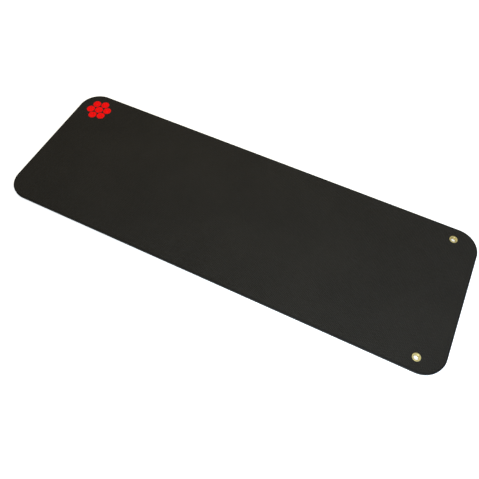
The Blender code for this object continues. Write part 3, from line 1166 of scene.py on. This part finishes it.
def brass_material():
    material, graph, place = new_material("pressed_brass")
    _, _, z = graph.split(place)
    step, reach = eyelet_step(graph, FIELD, place)
    way_x, way_y, _ = graph.split(graph.along("NORMALIZE", step))
    barrel = 1 - graph.smooth(reach, *BARREL_FADE)
    funnel = graph.smooth(reach, *FUNNEL_START) * (1 - graph.smooth(reach, *FUNNEL_END))
    upright = graph.vector(way_x, way_y, z * LINE_STRETCH)
    lines = graph.noise(upright, LINE_SCALE, detail=4.0, roughness=0.7)
    satin = graph.noise(place, SATIN_SCALE, detail=3.0, roughness=0.6)
    cloud = graph.noise(place, CLOUD_SCALE, detail=3.0)
    pits = graph.smooth(graph.noise(place, PIT_SCALE, detail=1.0), *PIT_RANGE)
    # painted shade: the barrel's inside is darkened, on top of a random cloud of darker tone
    tone_and_bore_shade = graph.smooth(cloud, *CLOUD_RANGE) * CLOUD_SHARE + barrel * BORE_PAINTED_SHADE_SHARE
    drawn = graph.smooth(lines, *LINE_RANGE) * barrel * LINE_SHARE
    colour = graph.mix(drawn, graph.mix(tone_and_bore_shade, BRASS, BRASS_DARK_AND_SHADE), BRASS_DARK_AND_SHADE)
    colour = graph.mix(pits * PIT_SHARE, colour, SPECK)
    roughness = BRASS_ROUGHNESS + (cloud - 0.5) * CLOUD_ROUGHNESS
    roughness = roughness - funnel * FUNNEL_SHINE + pits * PIT_ROUGHNESS
    height = satin * SATIN_RELIEF + lines * barrel * LINE_RELIEF - pits
    graph.surface({
        "Base Color": colour, "Metallic": 1.0, "Roughness": roughness,
        "Normal": graph.grain(height, BRASS_GRAIN),
    })
    return material


brass = brass_material()
for mesh in turned.values():
    mesh.materials.append(brass)
print("brass nodes:", len(brass.node_tree.nodes))

# %% [markdown]
# ## Pieces
#
# Each piece stands for a solid of the imported model, hides that solid, and rides on the only body.

# %% Pieces that stand for the solids
def add_piece(name, mesh, node):
    piece = new_object(name, mesh)
    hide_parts(node)
    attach(piece, "root")
    return piece


foam_piece = add_piece("foam_slab", foam_mesh, "foam_mat")
for node, mesh in turned.items():
    add_piece("turned_" + node, mesh, node)
print("pieces:", 1 + len(turned))

# %% [markdown]
# ## Studio
#
# The picture has a pure white ground and no shadow, and the floor is white even down in the holes. A
# photographer gets that with a light table, a white sheet lit from below, so the floor glows a little,
# and more so far out. Under the mat the floor is painted black and doesn't glow, a painted shadow, with
# a round window under each hole, and its edge is the painted dark line below the barrel's end. The sky
# is dim, and four large soft lamps stand round the mat. They give each bump a lit side and a dark side,
# warm at the left end and cooler at the right.

# %% White floor with a painted shadow under the mat
FLOOR_SIDE = 12.0
FLOOR_DROP = 0.4 * MM
# painted shadow: the floor is black and unlit under the mat, from this far inside its outline
PAINTED_SHADOW_MARGIN = 8 * MM
WINDOW_RADIUS = 8.4 * MM
PAINTED_SHADOW_EDGE = 0.1 * MM
PAINTED_SHADOW_BLACK = (0.004, 0.004, 0.004, 1.0)
SHEET_DULL, SHEET_WHITE = (0.90, 0.90, 0.90, 1.0), (0.93, 0.93, 0.93, 1.0)
SHEET_SCALE = 1.5
GLOW_NEAR, GLOW_FAR = (0.60, 0.60, 0.60, 1.0), (0.95, 0.95, 0.98, 1.0)
GLOW_WINDOW = (0.42, 0.42, 0.44, 1.0)
FAR_OUT = 0.7, 1.5


def floor_material():
    material, graph, place = new_material("studio_floor")
    colour = graph.mix(graph.noise(place, SHEET_SCALE), SHEET_DULL, SHEET_WHITE)
    # painted shadow: under the mat the floor is black and doesn't glow, except in a window under each
    # hole
    beyond_painted_shadow = outline_step(graph, FIELD, place)[-1] - (CORNER_RADIUS - PAINTED_SHADOW_MARGIN)
    outside_painted_shadow = graph.smooth(beyond_painted_shadow, -PAINTED_SHADOW_EDGE, PAINTED_SHADOW_EDGE)
    beyond_window = eyelet_step(graph, FIELD, place)[-1] - WINDOW_RADIUS
    window = 1 - graph.smooth(beyond_window, -PAINTED_SHADOW_EDGE, PAINTED_SHADOW_EDGE)
    outside_painted_shadow = outside_painted_shadow.math("MAXIMUM", window)
    colour = graph.mix(outside_painted_shadow, PAINTED_SHADOW_BLACK, colour)
    far_out = graph.smooth(graph.length(place), *FAR_OUT)
    glow = graph.mix(far_out, GLOW_NEAR, GLOW_FAR)
    glow = graph.mix(window, glow, GLOW_WINDOW)
    glow = graph.mix(outside_painted_shadow, PAINTED_SHADOW_BLACK, glow)
    graph.surface({
        "Base Color": colour, "Roughness": 0.9, "Specular IOR Level": 0.1,
        "Emission Color": glow, "Emission Strength": 1.0,
    })
    return material


def make_floor():
    half = FLOOR_SIDE / 2
    mesh = bpy.data.meshes.new("studio_floor")
    corners = [(-half, -half), (half, -half), (half, half), (-half, half)]
    mesh.from_pydata([(x, y, -FLOOR_DROP) for x, y in corners], [], [(0, 1, 2, 3)])
    mesh.materials.append(floor_material())
    floor = new_object("studio_floor", mesh)


make_floor()
print("floor %.0f m wide, %.1f mm below the mat" % (FLOOR_SIDE, FLOOR_DROP / MM))


# %% Lamps, sky and view
def soft_lamp(name, place, target, side, power, colour):
    """A square lamp of this side in metres and power in watts, turned to its target."""
    light = bpy.data.lights.new(name, "AREA")
    light.shape = "SQUARE"
    light.size = side
    light.energy = power
    light.color = colour
    lamp = new_object(name, light)
    lamp.location = place
    lamp.rotation_euler = (Vector(target) - Vector(place)).to_track_quat("-Z", "Y").to_euler()


def make_sky(colour, strength):
    world = bpy.data.worlds.new("studio_sky")
    world.use_nodes = True
    background = world.node_tree.nodes["Background"]
    background.inputs["Color"].default_value = colour
    background.inputs["Strength"].default_value = strength
    bpy.context.scene.world = world


soft_lamp("key_lamp", (-0.9, 1.7, 2.0), (0.1, 0, 0), 1.2, 16, (1.0, 0.82, 0.56))
soft_lamp("back_lamp", (0.03, 0.75, 2.0), (0.27, -0.25, 0), 0.7, 12, (0.97, 1.0, 0.72))
soft_lamp("front_lamp", (0.75, -1.1, 1.1), (0.35, -0.1, 0), 0.8, 22, (0.73, 0.89, 1.0))
soft_lamp("right_lamp", (1.9, -0.1, 1.2), (0.4, 0, 0), 1.0, 7.5, (0.34, 0.52, 1.0))
make_sky((1.0, 0.96, 0.89, 1.0), 0.29)
view = bpy.context.scene.view_settings
view.view_transform = "Standard"
view.look = "None"
view.exposure = 0.0
print("studio is ready")
